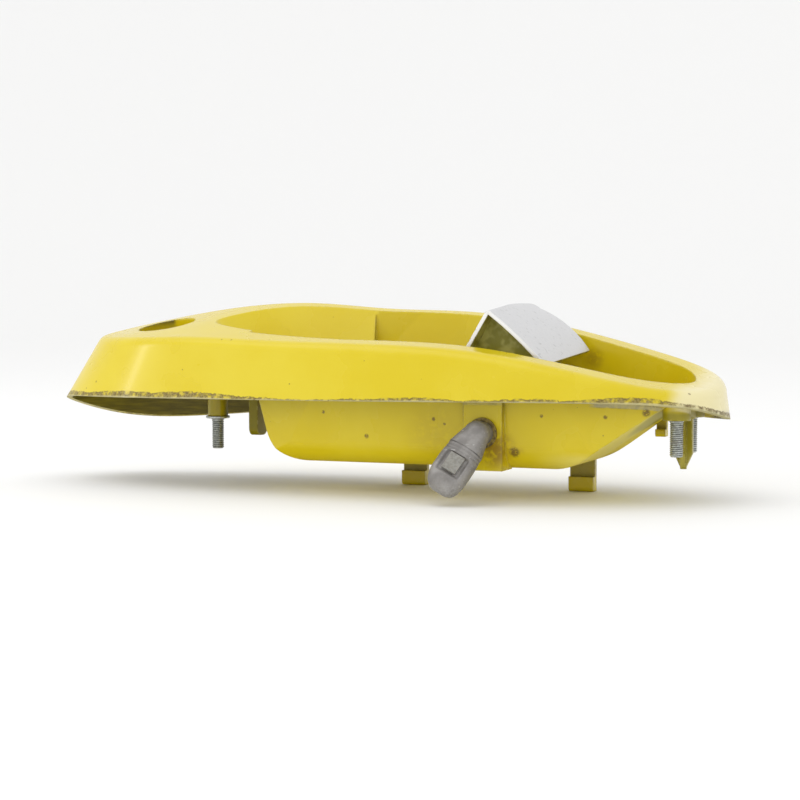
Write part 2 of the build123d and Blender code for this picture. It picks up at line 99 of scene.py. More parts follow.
def new_finish(name, **fixed):
    """A finish with one main shader whose uniform values are set on its own sockets."""
    material = bpy.data.materials.new(name)
    material.use_nodes = True
    finish = material.node_tree
    shader = finish.nodes["Principled BSDF"]
    for socket, value in fixed.items():
        shader.inputs[socket.replace("_", " ")].default_value = value
    return material, finish, shader


# level up to the bend, then a quarter circle, then straight up
sheet_low = cad_low.z - 0.0002
sheet_bend = 1.6           # radius of the curve up behind
bend_start = 2.5           # how far behind the pod it starts
across, along = np.meshgrid(np.linspace(-6.0, 6.0, 13), np.linspace(-3.0, 6.0, 91), indexing="ij")
past = along - bend_start
bent = np.clip(past / sheet_bend, 0, math.pi / 2)
sheet_y = np.where(past < 0, along, bend_start + sheet_bend * np.sin(bent))
sheet_z = sheet_low + sheet_bend * (1 - np.cos(bent)) + np.maximum(past - sheet_bend * math.pi / 2, 0)
sheet_points = np.stack((across, sheet_y, sheet_z), -1)
sweep = fill_mesh("studio_sheet", sheet_points, grid_faces(13, 91)[:, ::-1])
sheet_white, finish, shader = new_finish("studio_white", Base_Color=(0.94, 0.94, 0.935, 1), Roughness=0.9)
sweep.data.materials.append(sheet_white)

# ---- Light ------------------------------------------------------------------------------------
# An even white room, a broad lamp high over the near left, and a narrow upright one out to the left
# that puts a soft streak on the lacquer of the thick end.

room = bpy.data.worlds.new("white_room")
bpy.context.scene.world = room
room.use_nodes = True
room.node_tree.nodes["Background"].inputs[0].default_value = (1.0, 1.0, 1.0, 1)
room.node_tree.nodes["Background"].inputs[1].default_value = 1.0


def hang_lamp(name, place, aim, size, power, roll=0.0):
    """Hangs one oblong soft lamp that faces a point, rolled about the line to it."""
    lamp = bpy.data.lights.new(name, "AREA")
    lamp.shape = "RECTANGLE"
    lamp.size, lamp.size_y = size
    lamp.energy = power
    made = bpy.data.objects.new(name, lamp)
    made.location = place
    facing = (Vector(aim) - Vector(place)).to_track_quat("-Z", "Y")
    made.rotation_euler = (facing @ Quaternion((0, 0, 1), roll)).to_euler()
    bpy.context.scene.collection.objects.link(made)


hang_lamp("over_lamp", (-0.45, -0.35, 0.95), (-0.115, 0, 0), (0.9, 0.6), 1.6)
hang_lamp("left_lamp", (-1.121, -0.615, 0.44), (-0.20, -0.04, 0.015), (0.06, 0.46), 1.3, 0.35)

# ---- Camera -----------------------------------------------------------------------------------
# Stands low in front of the lever side, turned a little to the low end.

turn, climb, distance = math.radians(22.0), math.radians(3.0), 0.70
aim = Vector((-0.115, 0.0, 0.0047))    # middle of the pod
lens = bpy.data.cameras.new("camera")
lens.lens, lens.sensor_width = 78.75, 36.0
camera = bpy.data.objects.new("camera", lens)
back = Vector((math.sin(turn) * math.cos(climb), -math.cos(turn) * math.cos(climb), math.sin(climb)))
camera.location = aim + back * distance
camera.rotation_euler = (-back).to_track_quat("-Z", "Y").to_euler()
bpy.context.scene.collection.objects.link(camera)
bpy.context.scene.camera = camera
bpy.context.scene.view_settings.view_transform = "Standard"

# ---- Housing ----------------------------------------------------------------------------------
# One injection moulding with the bowl, bosses, hooks and peg, sprayed yellow with the door. Years on
# the car rubbed the foot of the skirt bare and left grime inside, on the hooks and round the lever; painted
# shade is mixed into that grime, and the pale low end carries painted highlight.


def place_on(finish):
    """Object coordinates in metres, whole and apart, of the surface point."""
    whole = add(finish, "TexCoord").outputs["Object"]
    apart = add(finish, "SeparateXYZ", whole)
    return whole, apart.outputs[0], apart.outputs[1], apart.outputs[2]


def step_up(finish, value, low, high, top=1.0):
    """Rises smoothly from 0 at low to top at high, or falls if low is the larger."""
    return add(finish, "MapRange", value, low, high, 0.0, top, interpolation_type="SMOOTHSTEP")


def work_out(finish, sum_kind, *values):
    """One arithmetic step."""
    return add(finish, "Math", *values, operation=sum_kind)


def both(finish, *shares):
    """Product of shares, so it is full only where all of them are."""
    found = shares[0]
    for share in shares[1:]:
        found = work_out(finish, "MULTIPLY", found, share)
    return found


def either(finish, *shares):
    """The largest of shares."""
    found = shares[0]
    for share in shares[1:]:
        found = work_out(finish, "MAXIMUM", found, share)
    return found


def without(finish, share):
    """What a share leaves over."""
    return work_out(finish, "SUBTRACT", 1.0, share)


def total(finish, *values):
    """Sum of values."""
    found = values[0]
    for value in values[1:]:
        found = work_out(finish, "ADD", found, value)
    return found


def spread(finish, noise, low, high):
    """Carries the usual run of a noise, 0.3 to 0.7, to low to high."""
    return add(finish, "MapRange", noise, 0.3, 0.7, low, high)


def speckle(finish, whole, fineness, detail=3.0, roughness=0.55):
    """Cloudy noise from about 0.3 to 0.7, with fineness in features a metre."""
    made = add(finish, "TexNoise")
    finish.links.new(whole, made.inputs["Vector"])
    for name, value in (("Scale", fineness), ("Detail", detail), ("Roughness", roughness)):
        made.inputs[name].default_value = value
    return made.outputs[0]


def tint(finish, share, first, second):
    """Colour that goes from first to second as share goes from 0 to 1."""
    return add(finish, "Mix", share, None, None, None, None, None, first, second, data_type="RGBA")


def blot(finish, whole, centre, radius, soft=0.5):
    """1 round a point, 0 past radius, each in metres."""
    away = add(finish, "VectorMath", whole, centre, operation="DISTANCE").outputs["Value"]
    return step_up(finish, away, radius, radius * (1 - soft))


def relief(finish, shader, height, depth, normal=None):
    """Raises the surface by height times depth in metres, on top of a softened normal if one is given."""
    bump = add(finish, "Bump")
    bump.inputs["Distance"].default_value = depth
    source = height.outputs[0] if isinstance(height, bpy.types.Node) else height
    finish.links.new(source, bump.inputs["Height"])
    if normal is not None:
        finish.links.new(normal.outputs[0], bump.inputs["Normal"])
    finish.links.new(bump.outputs[0], shader.inputs["Normal"])


def coat(finish, shader, colour, rough):
    """Gives the shader its colour and its roughness."""
    finish.links.new(colour.outputs[2], shader.inputs["Base Color"])
    finish.links.new(rough.outputs[0], shader.inputs["Roughness"])


def profile(finish, across, points, low, high):
    """Smooth curve through (place, height) points, places from low to high and heights -30 to 10 mm."""
    share = add(finish, "MapRange", across, low, high, 0.0, 1.0)
    curve = add(finish, "FloatCurve", 1.0, share)
    dots = curve.mapping.curves[0].points
    scaled = [((place - low) / (high - low), (height + 0.030) / 0.040) for place, height in points]
    dots[0].location, dots[1].location = scaled[0], scaled[-1]
    for spot in scaled[1:-1]:
        dots.new(*spot)
    curve.mapping.update()
    return add(finish, "MapRange", curve, 0.0, 1.0, -0.030, 0.010)


yellow, finish, shader = new_finish("yellow_lacquer", Coat_Weight=0.16, Coat_Roughness=0.12, IOR=1.38)
whole, x, y, z = place_on(finish)

# height of the skirt foot at the thick end, at the start of the bowl and at the low end
half_width = 0.060
thick_foot, middle_foot, low_foot = [profile(finish, y, points, -half_width, half_width) for points in (
    ((-0.060, 0.0027), (-0.030, 0.0045), (0.0, 0.0017), (0.028, -0.0103), (0.060, -0.0243)),
    ((-0.060, 0.0042), (-0.030, 0.0055), (0.0, 0.0032), (0.028, -0.0003), (0.060, -0.0048)),
    ((-0.060, 0.0071), (-0.030, 0.0063), (-0.008, 0.0017), (0.014, -0.0019), (0.060, -0.0041)))]
thick_x, middle_x, low_x = -0.295, -0.175, 0.035
to_middle = add(finish, "MapRange", x, thick_x, middle_x, 0.0, 1.0)
to_low = add(finish, "MapRange", x, middle_x, low_x, 0.0, 1.0)
first_mix = add(finish, "Mix", to_middle, None, thick_foot, middle_foot, data_type="FLOAT").outputs[0]
foot = add(finish, "Mix", to_low, None, first_mix, low_foot, data_type="FLOAT").outputs[0]
above_foot = work_out(finish, "SUBTRACT", z, foot)

cloud = speckle(finish, whole, 28.0, 4.0)
fine = speckle(finish, whole, 420.0, 4.0, 0.6)
grit = speckle(finish, whole, 1500.0, 2.0, 0.5)
streaky = add(finish, "Mapping", whole, None, None, (30.0, 30.0, 260.0))
streaks = speckle(finish, streaky.outputs[0], 3.0, 5.0, 0.6)
flat_normal = add(finish, "NewGeometry").outputs["Normal"]
facing = add(finish, "SeparateXYZ", flat_normal)
facing_x, facing_y, facing_z = facing.outputs

fresh_yellow = (0.70, 0.545, 0.006, 1)
faded_yellow = (0.73, 0.585, 0.022, 1)
colour = tint(finish, step_up(finish, cloud, 0.36, 0.70), fresh_yellow, faded_yellow)

# painted shade mixed with grime: darkened where the ambient occlusion says little light reaches, and all
# over the inside, but hardly in the lock hole
grime_and_shade = (0.090, 0.072, 0.008, 1)
occlusion = add(finish, "AmbientOcclusion", None, 0.045, samples=8, only_local=True)
shade_and_grime_share = step_up(finish, occlusion.outputs["AO"], 0.55, 0.10, 0.75)
inside = either(
    finish,
    both(finish, step_up(finish, y, 0.0295, 0.0305), step_up(finish, facing_y, -0.2, -0.4)),
    both(finish, step_up(finish, y, -0.0295, -0.0308), step_up(finish, facing_y, 0.2, 0.4)),
    both(finish, step_up(finish, x, -0.2010, -0.2050), step_up(finish, facing_x, 0.1, 0.3)),
    both(finish, step_up(finish, above_foot, 0.004, 0.007), step_up(finish, facing_z, -0.5, -0.8)))
at_lock = blot(finish, whole, (-0.2225, 0.0029, 0.0240), 0.0165, 0.2)
shade_and_grime_share = either(finish, shade_and_grime_share, both(finish, inside, 0.97))
shade_and_grime_share = both(finish, shade_and_grime_share, without(finish, both(finish, at_lock, 0.85)))
shade_and_dirt = both(finish, shade_and_grime_share, add(finish, "MapRange", streaks, 0.3, 0.6, 0.86, 1.0))
colour = tint(finish, shade_and_dirt, colour, grime_and_shade)

# hooks are dirty and darker on the stem, partly painted shade under the bowl; the studs' bosses, on their
# sides and undersides, and the leg below the roof are tinted a darker olive
hook_dirt_and_shade_olive = (0.20, 0.17, 0.022, 1)
boss_olive = (0.13, 0.12, 0.006, 1)
leg_olive = (0.13, 0.12, 0.008, 1)
stem_or_barb = add(finish, "MapRange", z, -0.0256, -0.0252, 0.27, 0.60)
hook_dirt_and_shade = both(finish, step_up(finish, z, -0.012, -0.0205), step_up(finish, y, 0.012, 0.018), stem_or_barb)
colour = tint(finish, hook_dirt_and_shade, colour, hook_dirt_and_shade_olive)
boss_olive_share = both(finish, blot(finish, whole, (0.0, 0.0, -0.001), 0.024, 0.3),
                 step_up(finish, z, 0.0045, 0.002), step_up(finish, facing_z, 0.30, 0.10))
colour = tint(finish, both(finish, boss_olive_share, 0.66), colour, boss_olive)
below_roof = step_up(finish, z, 0.0075, 0.0055)
for centre, radius, share in (((-0.1970, 0.0, 0.0), 0.0095, 0.50),
                              ((-0.1808, 0.0050, -0.0040), 0.0150, 0.78)):
    greened = both(finish, blot(finish, whole, centre, radius, 0.15), below_roof, share)
    colour = tint(finish, greened, colour, leg_olive)

# the low end is painted almost white above its foot, partly faded lacquer and partly painted highlight, and
# the ramp under it gets a pale tint that is a painted reflection of the floor
fade_and_highlight = (0.88, 0.82, 0.57, 1)
floor_reflection = (0.84, 0.77, 0.30, 1)
pale_end_edge = total(finish, x, spread(finish, cloud, -0.006, 0.006))
fade_and_highlight_share = both(finish, step_up(finish, pale_end_edge, -0.001, 0.011), step_up(finish, facing_z, -0.15, -0.02),
              without(finish, inside), step_up(finish, above_foot, -0.0008, 0.0002))
colour = tint(finish, both(finish, fade_and_highlight_share, 0.72), colour, fade_and_highlight)
below = step_up(finish, facing_z, -0.25, -0.60)
floor_reflection_share = both(finish, below, step_up(finish, x, -0.055, -0.030), step_up(finish, y, 0.012, 0.004))
colour = tint(finish, both(finish, floor_reflection_share, 0.40), colour, floor_reflection)

# rubbed foot: a brown scuffed band that widens to both ends, with a dark upper line, and a bare pale
# line at its very edge, all on the outside of the skirt only
band_height, wider_at_thick_end, wider_at_low_end = 0.0011, 0.0015, 0.0010
scuff_brown, scuff_tan = (0.10, 0.068, 0.022, 1), (0.27, 0.21, 0.08, 1)
rim_brown = (0.13, 0.075, 0.018, 1)
bare_plastic = (0.60, 0.55, 0.30, 1)
band = total(finish, band_height, both(finish, step_up(finish, x, -0.150, -0.175), wider_at_thick_end),
             both(finish, step_up(finish, x, -0.035, -0.018), wider_at_low_end))
ragged = total(finish, spread(finish, cloud, -0.0010, 0.0010), spread(finish, fine, -0.0005, 0.0005))
depth_in_band = work_out(finish, "SUBTRACT", total(finish, above_foot, ragged), band)
skin = either(finish, step_up(finish, y, -0.0300, -0.0315), step_up(finish, y, 0.0300, 0.0315),
              step_up(finish, x, -0.205, -0.215), step_up(finish, x, 0.004, 0.008),
              both(finish, step_up(finish, x, -0.030, -0.026), step_up(finish, y, -0.0170, -0.0185)))
skin = both(finish, skin, without(finish, inside))
scuff = both(finish, step_up(finish, depth_in_band, 0.00030, -0.00030),
             step_up(finish, above_foot, -0.0012, -0.0004), skin,
             add(finish, "MapRange", fine, 0.36, 0.54, 0.15, 1.0))
scuff_colour = tint(finish, step_up(finish, grit, 0.38, 0.60), scuff_brown, scuff_tan)
colour = tint(finish, both(finish, scuff, 0.90), colour, scuff_colour)
off_line = work_out(finish, "ABSOLUTE", depth_in_band)
rim_line = both(finish, step_up(finish, off_line, 0.00034, 0.00008), skin, step_up(finish, fine, 0.40, 0.50))
colour = tint(finish, both(finish, rim_line, 0.70), colour, rim_brown)
rubbed_height = total(finish, above_foot, both(finish, ragged, 0.35))
bare_line = both(finish, step_up(finish, rubbed_height, 0.00095, 0.00045),
                 step_up(finish, above_foot, -0.0009, -0.0005), skin)
colour = tint(finish, both(finish, bare_line, 0.70), colour, bare_plastic)

# pale wear at the sharp rims, and scattered pits
worn_yellow = (0.86, 0.76, 0.30, 1)
pit_brown = (0.14, 0.075, 0.012, 1)
soft_edge = add(finish, "Bevel", 0.0011, samples=6)
edge = add(finish, "VectorMath", soft_edge, flat_normal, operation="DOT_PRODUCT").outputs["Value"]
worn_edge = both(finish, step_up(finish, edge, 0.985, 0.90), step_up(finish, fine, 0.44, 0.60))
colour = tint(finish, both(finish, worn_edge, 0.30), colour, worn_yellow)
pit_size = add(finish, "MapRange", cloud, 0.45, 0.65, 0.02, 0.09)
pit = work_out(finish, "LESS_THAN", add(finish, "TexVoronoi", whole, None, 130.0), pit_size)
colour = tint(finish, both(finish, pit, 0.55), colour, pit_brown)

# brown patches: round the lever and beside the pad, partly stain and partly painted shadow of the lever
# and the pad; by the paddle's back corner, partly stain and partly painted shadow of that corner; a faint
# wide one on the near wall, and a small mark on the crown
rust = (0.24, 0.115, 0.018, 1)
for centre, radius, share in (((-0.0640, -0.0306, -0.0115), 0.0095, 0.75),
                              ((-0.0560, -0.0290, -0.0130), 0.0038, 0.80),
                              ((-0.0425, 0.0230, 0.0215), 0.0065, 0.60),
                              ((-0.0900, -0.0300, -0.0060), 0.0150, 0.16),
                              ((-0.1837, 0.0270, 0.0348), 0.0022, 0.60)):
    stain_and_shadow_patch = both(finish, blot(finish, whole, centre, radius, 0.8), step_up(finish, fine, 0.26, 0.54))
    colour = tint(finish, both(finish, stain_and_shadow_patch, share), colour, rust)

# knocks through the lacquer of the near wall; the first is the dark corner beside the pad, dirt together with
# the pad's painted shadow on the bowl wall
knock_and_shadow_brown = (0.13, 0.065, 0.012, 1)
on_wall = step_up(finish, facing_y, -0.35, -0.60)
wall_place = add(finish, "CombineXYZ", x, 0.0, z).outputs[0]
for left, up, radius in ((-0.0582, -0.0125, 0.0026), (-0.0900, -0.0007, 0.0010),
                         (-0.0856, -0.0024, 0.0008), (-0.0471, 0.0014, 0.0009),
                         (-0.0234, 0.0014, 0.0010), (-0.0093, 0.0030, 0.0018),
                         (-0.1180, -0.0080, 0.0012), (-0.1360, 0.0010, 0.0009)):
    knock_and_shadow = both(finish, blot(finish, wall_place, (left, 0.0, up), radius, 0.6), on_wall,
                 step_up(finish, grit, 0.34, 0.46))
    colour = tint(finish, both(finish, knock_and_shadow, 0.85), colour, knock_and_shadow_brown)

# a thin painted dark line along the bearing pad's two edges: painted shade at the pad's step
pad_edge_shade = (0.30, 0.22, 0.02, 1)
for pad_edge in (-0.0772, -0.0615):
    off_edge = work_out(finish, "ABSOLUTE", work_out(finish, "SUBTRACT", x, pad_edge))
    on_pad = both(finish, step_up(finish, y, -0.0292, -0.0300), step_up(finish, y, -0.0335, -0.0325))
    line = both(finish, step_up(finish, off_edge, 0.00050, 0.00015), on_pad,
                step_up(finish, z, 0.0052, 0.0045))
    colour = tint(finish, both(finish, line, 0.45), colour, pad_edge_shade)

# dirty places, the painted-shade share and scuffed places are dull, and the underside got only dry overspray,
# so it hardly shines
rough = total(finish, spread(finish, cloud, 0.20, 0.34), both(finish, scuff, 0.35),
              both(finish, shade_and_dirt, 0.35), both(finish, greened, 0.45), both(finish, below, 0.30))
coat(finish, shader, colour, rough)
for socket, outside, underneath in (("Coat Weight", 0.16, 0.0), ("Specular IOR Level", 0.50, 0.12)):
    shine = add(finish, "MapRange", below, 0.0, 1.0, outside, underneath)
    finish.links.new(shine.outputs[0], shader.inputs[socket])
lumps = total(finish, both(finish, speckle(finish, whole, 700.0, 2.0), 0.25),
              both(finish, fine, total(finish, 0.05, scuff)))
lumps = work_out(finish, "SUBTRACT", lumps, pit)
relief(finish, shader, lumps, 0.000035, soft_edge)


def dress(names, material):
    """Gives CAD nodes one finish, in place of what they came with."""
    for name in names:
        mesh = shown[name].data
        mesh.materials.clear()
        mesh.materials.append(material)


dress(["housing"], yellow)

# ---- Paddle -----------------------------------------------------------------------------------
# The part the fingers pull: a zinc die casting with a silver lacquer on its outside that nails and
# rings have scratched, and the bare casting inside, tinted olive as a painted reflection of the yellow bowl.


def scratches(finish, whole, turned, fineness, stretch, rarity):
    """Fine straight hairlines: noise drawn out along one direction and cut off near its top."""
    laid = add(finish, "Mapping", whole, None, turned, (fineness, fineness * stretch, fineness * stretch))
    return step_up(finish, speckle(finish, laid.outputs[0], 1.0, 1.0, 0.4), rarity, rarity + 0.03)


silver, finish, shader = new_finish("silver_lacquer", Coat_Weight=0.25, Coat_Roughness=0.15)
whole, x, y, z = place_on(finish)
cloud = speckle(finish, whole, 60.0, 3.0)
fine = speckle(finish, whole, 900.0, 3.0)
silver_dark, silver_light = (0.63, 0.63, 0.642, 1), (0.66, 0.66, 0.668, 1)
colour = tint(finish, step_up(finish, fine, 0.35, 0.65), silver_dark, silver_light)
cuts = either(finish, scratches(finish, whole, (0.0, 0.0, 0.5), 28.0, 26.0, 0.70),
              scratches(finish, whole, (0.3, 0.9, 1.3), 30.0, 26.0, 0.71))
colour = tint(finish, both(finish, cuts, 0.55), colour, (0.40, 0.40, 0.40, 1))

# the inside is bare casting, tinted olive as a painted reflection of the yellow bowl, between the cap's two
# end faces
reflection_olive_dark, reflection_olive_light = (0.27, 0.255, 0.020, 1), (0.46, 0.44, 0.11, 1)
flat_normal = add(finish, "NewGeometry").outputs["Normal"]
facing_x, facing_y, facing_z = add(finish, "SeparateXYZ", flat_normal).outputs
sideways = work_out(finish, "ABSOLUTE", facing_y)
between_ends = step_up(finish, work_out(finish, "ABSOLUTE", y), 0.0212, 0.0200)
inner = either(finish, step_up(finish, facing_z, -0.05, -0.25),
               both(finish, step_up(finish, sideways, 0.7, 0.9), between_ends))
outer = without(finish, inner)
bowl_reflection_olive = tint(finish, step_up(finish, speckle(finish, whole, 170.0, 2.0), 0.42, 0.60), reflection_olive_dark, reflection_olive_light)
colour = tint(finish, inner, colour, bowl_reflection_olive)

# the end faces carry a painted highlight, the edges are worn bright and carry a painted highlight as well,
# and the lip's edges are chipped
soft_edge = add(finish, "Bevel", 0.0006, samples=6)
edge = add(finish, "VectorMath", soft_edge, flat_normal, operation="DOT_PRODUCT").outputs["Value"]
end_face_highlight = both(finish, step_up(finish, sideways, 0.6, 0.8), outer)
colour = tint(finish, both(finish, end_face_highlight, 0.9), colour, (0.93, 0.93, 0.935, 1))
edge_wear_and_highlight = both(finish, step_up(finish, edge, 0.985, 0.90), outer)
edge_wear_and_highlight = both(finish, edge_wear_and_highlight, step_up(finish, cloud, 0.40, 0.52))
colour = tint(finish, edge_wear_and_highlight, colour, (0.88, 0.88, 0.88, 1))
chipped = both(finish, step_up(finish, edge, 0.995, 0.94),
               step_up(finish, speckle(finish, whole, 520.0, 2.0), 0.54, 0.57),
               step_up(finish, x, -0.0700, -0.0730))
colour = tint(finish, both(finish, chipped, 0.85), colour, (0.24, 0.20, 0.06, 1))
coat(finish, shader, colour, total(finish, spread(finish, fine, 0.34, 0.40), both(finish, inner, 0.25)))
metal = add(finish, "MapRange", inner, 0.0, 1.0, 0.35, 0.1)
finish.links.new(metal.outputs[0], shader.inputs["Metallic"])
relief(finish, shader, work_out(finish, "SUBTRACT", both(finish, fine, 0.12), cuts), 0.00004, soft_edge)


def weld(made):
    """Joins the doubled points at poles, drops faces of no area and turns every face outwards."""
    bpy.ops.object.select_all(action="DESELECT")
    made.select_set(True)
    bpy.context.view_layer.objects.active = made
    bpy.ops.object.mode_set(mode="EDIT")
    bpy.ops.mesh.select_all(action="SELECT")
    bpy.ops.mesh.remove_doubles(threshold=1e-6)
    bpy.ops.mesh.dissolve_degenerate(threshold=1e-7)
    bpy.ops.mesh.select_all(action="SELECT")
    bpy.ops.mesh.normals_make_consistent(inside=False)
    bpy.ops.object.mode_set(mode="OBJECT")


paddle_half = 0.0216       # half the cap's width, along y
paddle_sheet = 0.0015
# x and z of lip, ridge and back, at the near end and at the far end
paddle_lip = ((-0.0858, 0.0157), (-0.0860, 0.0177))
paddle_ridge = ((-0.0707, 0.0414), (-0.0690, 0.0460))
paddle_back = ((-0.0478, 0.0203), (-0.0428, 0.0247))


def paddle_profile(y):
    """Outer line of the cap at each y: straight from lip to ridge, a square-law curve round the ridge whose
    reach grows to the far side, then to the back with a parabola's bulge. Also gives its outward normals."""
    share = ((y + paddle_half) / (2 * paddle_half))[:, None, None]
    lip, ridge, back = [np.array(near) * (1 - share) + np.array(far) * share
                        for near, far in (paddle_lip, paddle_ridge, paddle_back)]
    rise = (ridge - lip) / np.linalg.norm(ridge - lip, axis=-1, keepdims=True)
    fall = (back - ridge) / np.linalg.norm(back - ridge, axis=-1, keepdims=True)
    reach = 0.0024 + 0.0051 * np.clip((share - 0.50) / 0.50, 0, 1) ** 1.5
    bulge = 0.0007 + 0.0013 * share
    before, after = ridge - rise * reach, ridge + fall * reach
    t = np.linspace(0, 1, 13)[None, :, None]
    straight = lip + (before - lip) * t
    bend = (1 - t) ** 2 * before + 2 * t * (1 - t) * ridge + t ** 2 * after
    t = np.linspace(0, 1, 25)[None, :, None]
    up = np.concatenate((-fall[..., 1:], fall[..., :1]), -1)
    slope = after + (back - after) * t + up * 4 * t * (1 - t) * bulge
    line = np.concatenate((straight[:, :-1], bend[:, :-1], slope), 1)
    run = np.gradient(line, axis=1)
    normal = np.stack((-run[..., 1], run[..., 0]), -1)
    return line, normal / np.linalg.norm(normal, axis=-1, keepdims=True)


def across_pod(outline, places):
    """Repeats an x, z outline at each place along y, as one row of points for each."""
    outline = np.asarray(outline)
    rows = np.broadcast_to(outline, (len(places),) + outline.shape)
    level = np.broadcast_to(np.asarray(places)[:, None], rows.shape[:2])
    return np.stack((rows[..., 0], level, rows[..., 1]), -1)


def paddle_casting():
    """The cap is the profile at 45 places across, and the same line moved in by the sheet, joined round the
    rim. Webs are the profile's middle closed through the hub, and the tail is an oblong, each carried along
    y. The hub is a tube: radius times cosine and sine of the turn."""
    hinge_x, hinge_z = -0.0694, -0.0053
    web_place, web_half, web_foot = 0.0130, 0.0015, 0.0049
    tail_half, tail_top, tail_tip, tail_side = 0.0025, -0.0032, -0.0092, 0.0050
    bore, hub_outside, hub_end = 0.00302, 0.0054, 0.0168
    places = np.linspace(-paddle_half, paddle_half, 45)
    line, normal = paddle_profile(places)
    count = line.shape[1]
    ring = np.concatenate((line, (line - normal * paddle_sheet)[:, ::-1]), 1)
    level = np.broadcast_to(places[:, None], ring.shape[:2])
    points = [np.stack((ring[..., 0], level, ring[..., 1]), -1).reshape(-1, 3)]
    side = np.arange(count - 1)
    end = np.stack((side, side + 1, 2 * count - 2 - side, 2 * count - 1 - side), -1)
    faces = grid_faces(len(places), 2 * count, wrap=True).tolist() + end.tolist()
    faces += (end + (len(places) - 1) * 2 * count).tolist()

    def slab(outline, low, high):
        """Closes an x, z outline between two places across."""
        first, size = sum(len(part) for part in points), len(outline)
        points.append(across_pod(outline, (low, high)).reshape(-1, 3))
        faces.extend((grid_faces(2, size, wrap=True) + first).tolist())
        faces.extend((np.arange(2 * size).reshape(2, size) + first).tolist())

    for middle in (-web_place, web_place):
        line, normal = paddle_profile(np.array((middle,)))
        web = (line - normal * paddle_sheet / 2)[0, 5:-5].tolist()
        web += [(hinge_x + web_foot, hinge_z), (hinge_x - web_foot, hinge_z)]
        slab(web, middle - web_half, middle + web_half)
    slab([(hinge_x + x, hinge_z + z) for x, z in ((-tail_half, tail_tip), (tail_half, tail_tip),
                                                  (tail_half, tail_top), (-tail_half, tail_top))],
         -tail_side, tail_side)
    turn = np.linspace(0, 2 * math.pi, 64, endpoint=False)
    first = sum(len(part) for part in points)
    tube = np.array(((bore, -hub_end), (hub_outside, -hub_end), (hub_outside, hub_end),
                     (bore, hub_end), (bore, -hub_end)))
    radius, level = [np.broadcast_to(tube[:, k:k + 1], (len(tube), len(turn))) for k in (0, 1)]
    hub = np.stack((hinge_x + radius * np.cos(turn), level, hinge_z + radius * np.sin(turn)), -1)
    points.append(hub.reshape(-1, 3))
    faces.extend((grid_faces(len(tube), len(turn), wrap=True) + first).tolist())
    made = fill_mesh("paddle_casting", np.concatenate(points), np.array(faces, dtype=object))
    weld(made)
    made.data.set_sharp_from_angle(angle=math.radians(38))
    edges = made.modifiers.new("rim", "BEVEL")
    edges.width, edges.segments, edges.angle_limit = 0.00035, 2, math.radians(40)
    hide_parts("paddle")
    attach(made, "pull")
    return made


paddle_casting().data.materials.append(silver)

# ---- Crank lever ------------------------------------------------------------------------------
# Bare grey die casting in two pieces: the boss with its spigot, and a sleeve pushed over its tongue.
# Both are dull, with painted shade in the joint and crevices, and paler towards the rubbed foot.

casting, finish, shader = new_finish("bare_casting")
whole, x, y, z = place_on(finish)
cloud = speckle(finish, whole, 160.0, 4.0)
fine = speckle(finish, whole, 1300.0, 4.0, 0.65)
colour = tint(finish, step_up(finish, cloud, 0.36, 0.64), (0.225, 0.212, 0.20, 1), (0.33, 0.315, 0.30, 1))
rubbed = both(finish, step_up(finish, z, -0.0215, -0.0262), step_up(finish, fine, 0.40, 0.60))
colour = tint(finish, both(finish, rubbed, 0.45), colour, (0.50, 0.49, 0.47, 1))
grooves = scratches(finish, whole, (0.9, 0.4, 0.2), 90.0, 14.0, 0.68)
colour = tint(finish, both(finish, grooves, 0.45), colour, (0.66, 0.65, 0.63, 1))
# painted shade: darkened where the ambient occlusion finds the joint and crevices closed in
crevice_shade = step_up(finish, add(finish, "AmbientOcclusion", None, 0.004, samples=8).outputs["AO"], 0.75, 0.30)
colour = tint(finish, both(finish, crevice_shade, 0.60), colour, (0.060, 0.052, 0.045, 1))
coat(finish, shader, colour, spread(finish, fine, 0.42, 0.64))
shader.inputs["Metallic"].default_value = 0.45
soft_edge = add(finish, "Bevel", 0.0007, samples=4)
relief(finish, shader, work_out(finish, "SUBTRACT", fine, grooves), 0.00007, soft_edge)
dress(["crank_boss"], casting)


def fine_step(value, low, high):
    """0 up to low, 1 past high, smooth between; falls instead if low is the larger."""
    share = np.clip((value - low) / (high - low), 0, 1)
    return share * share * (3 - 2 * share)


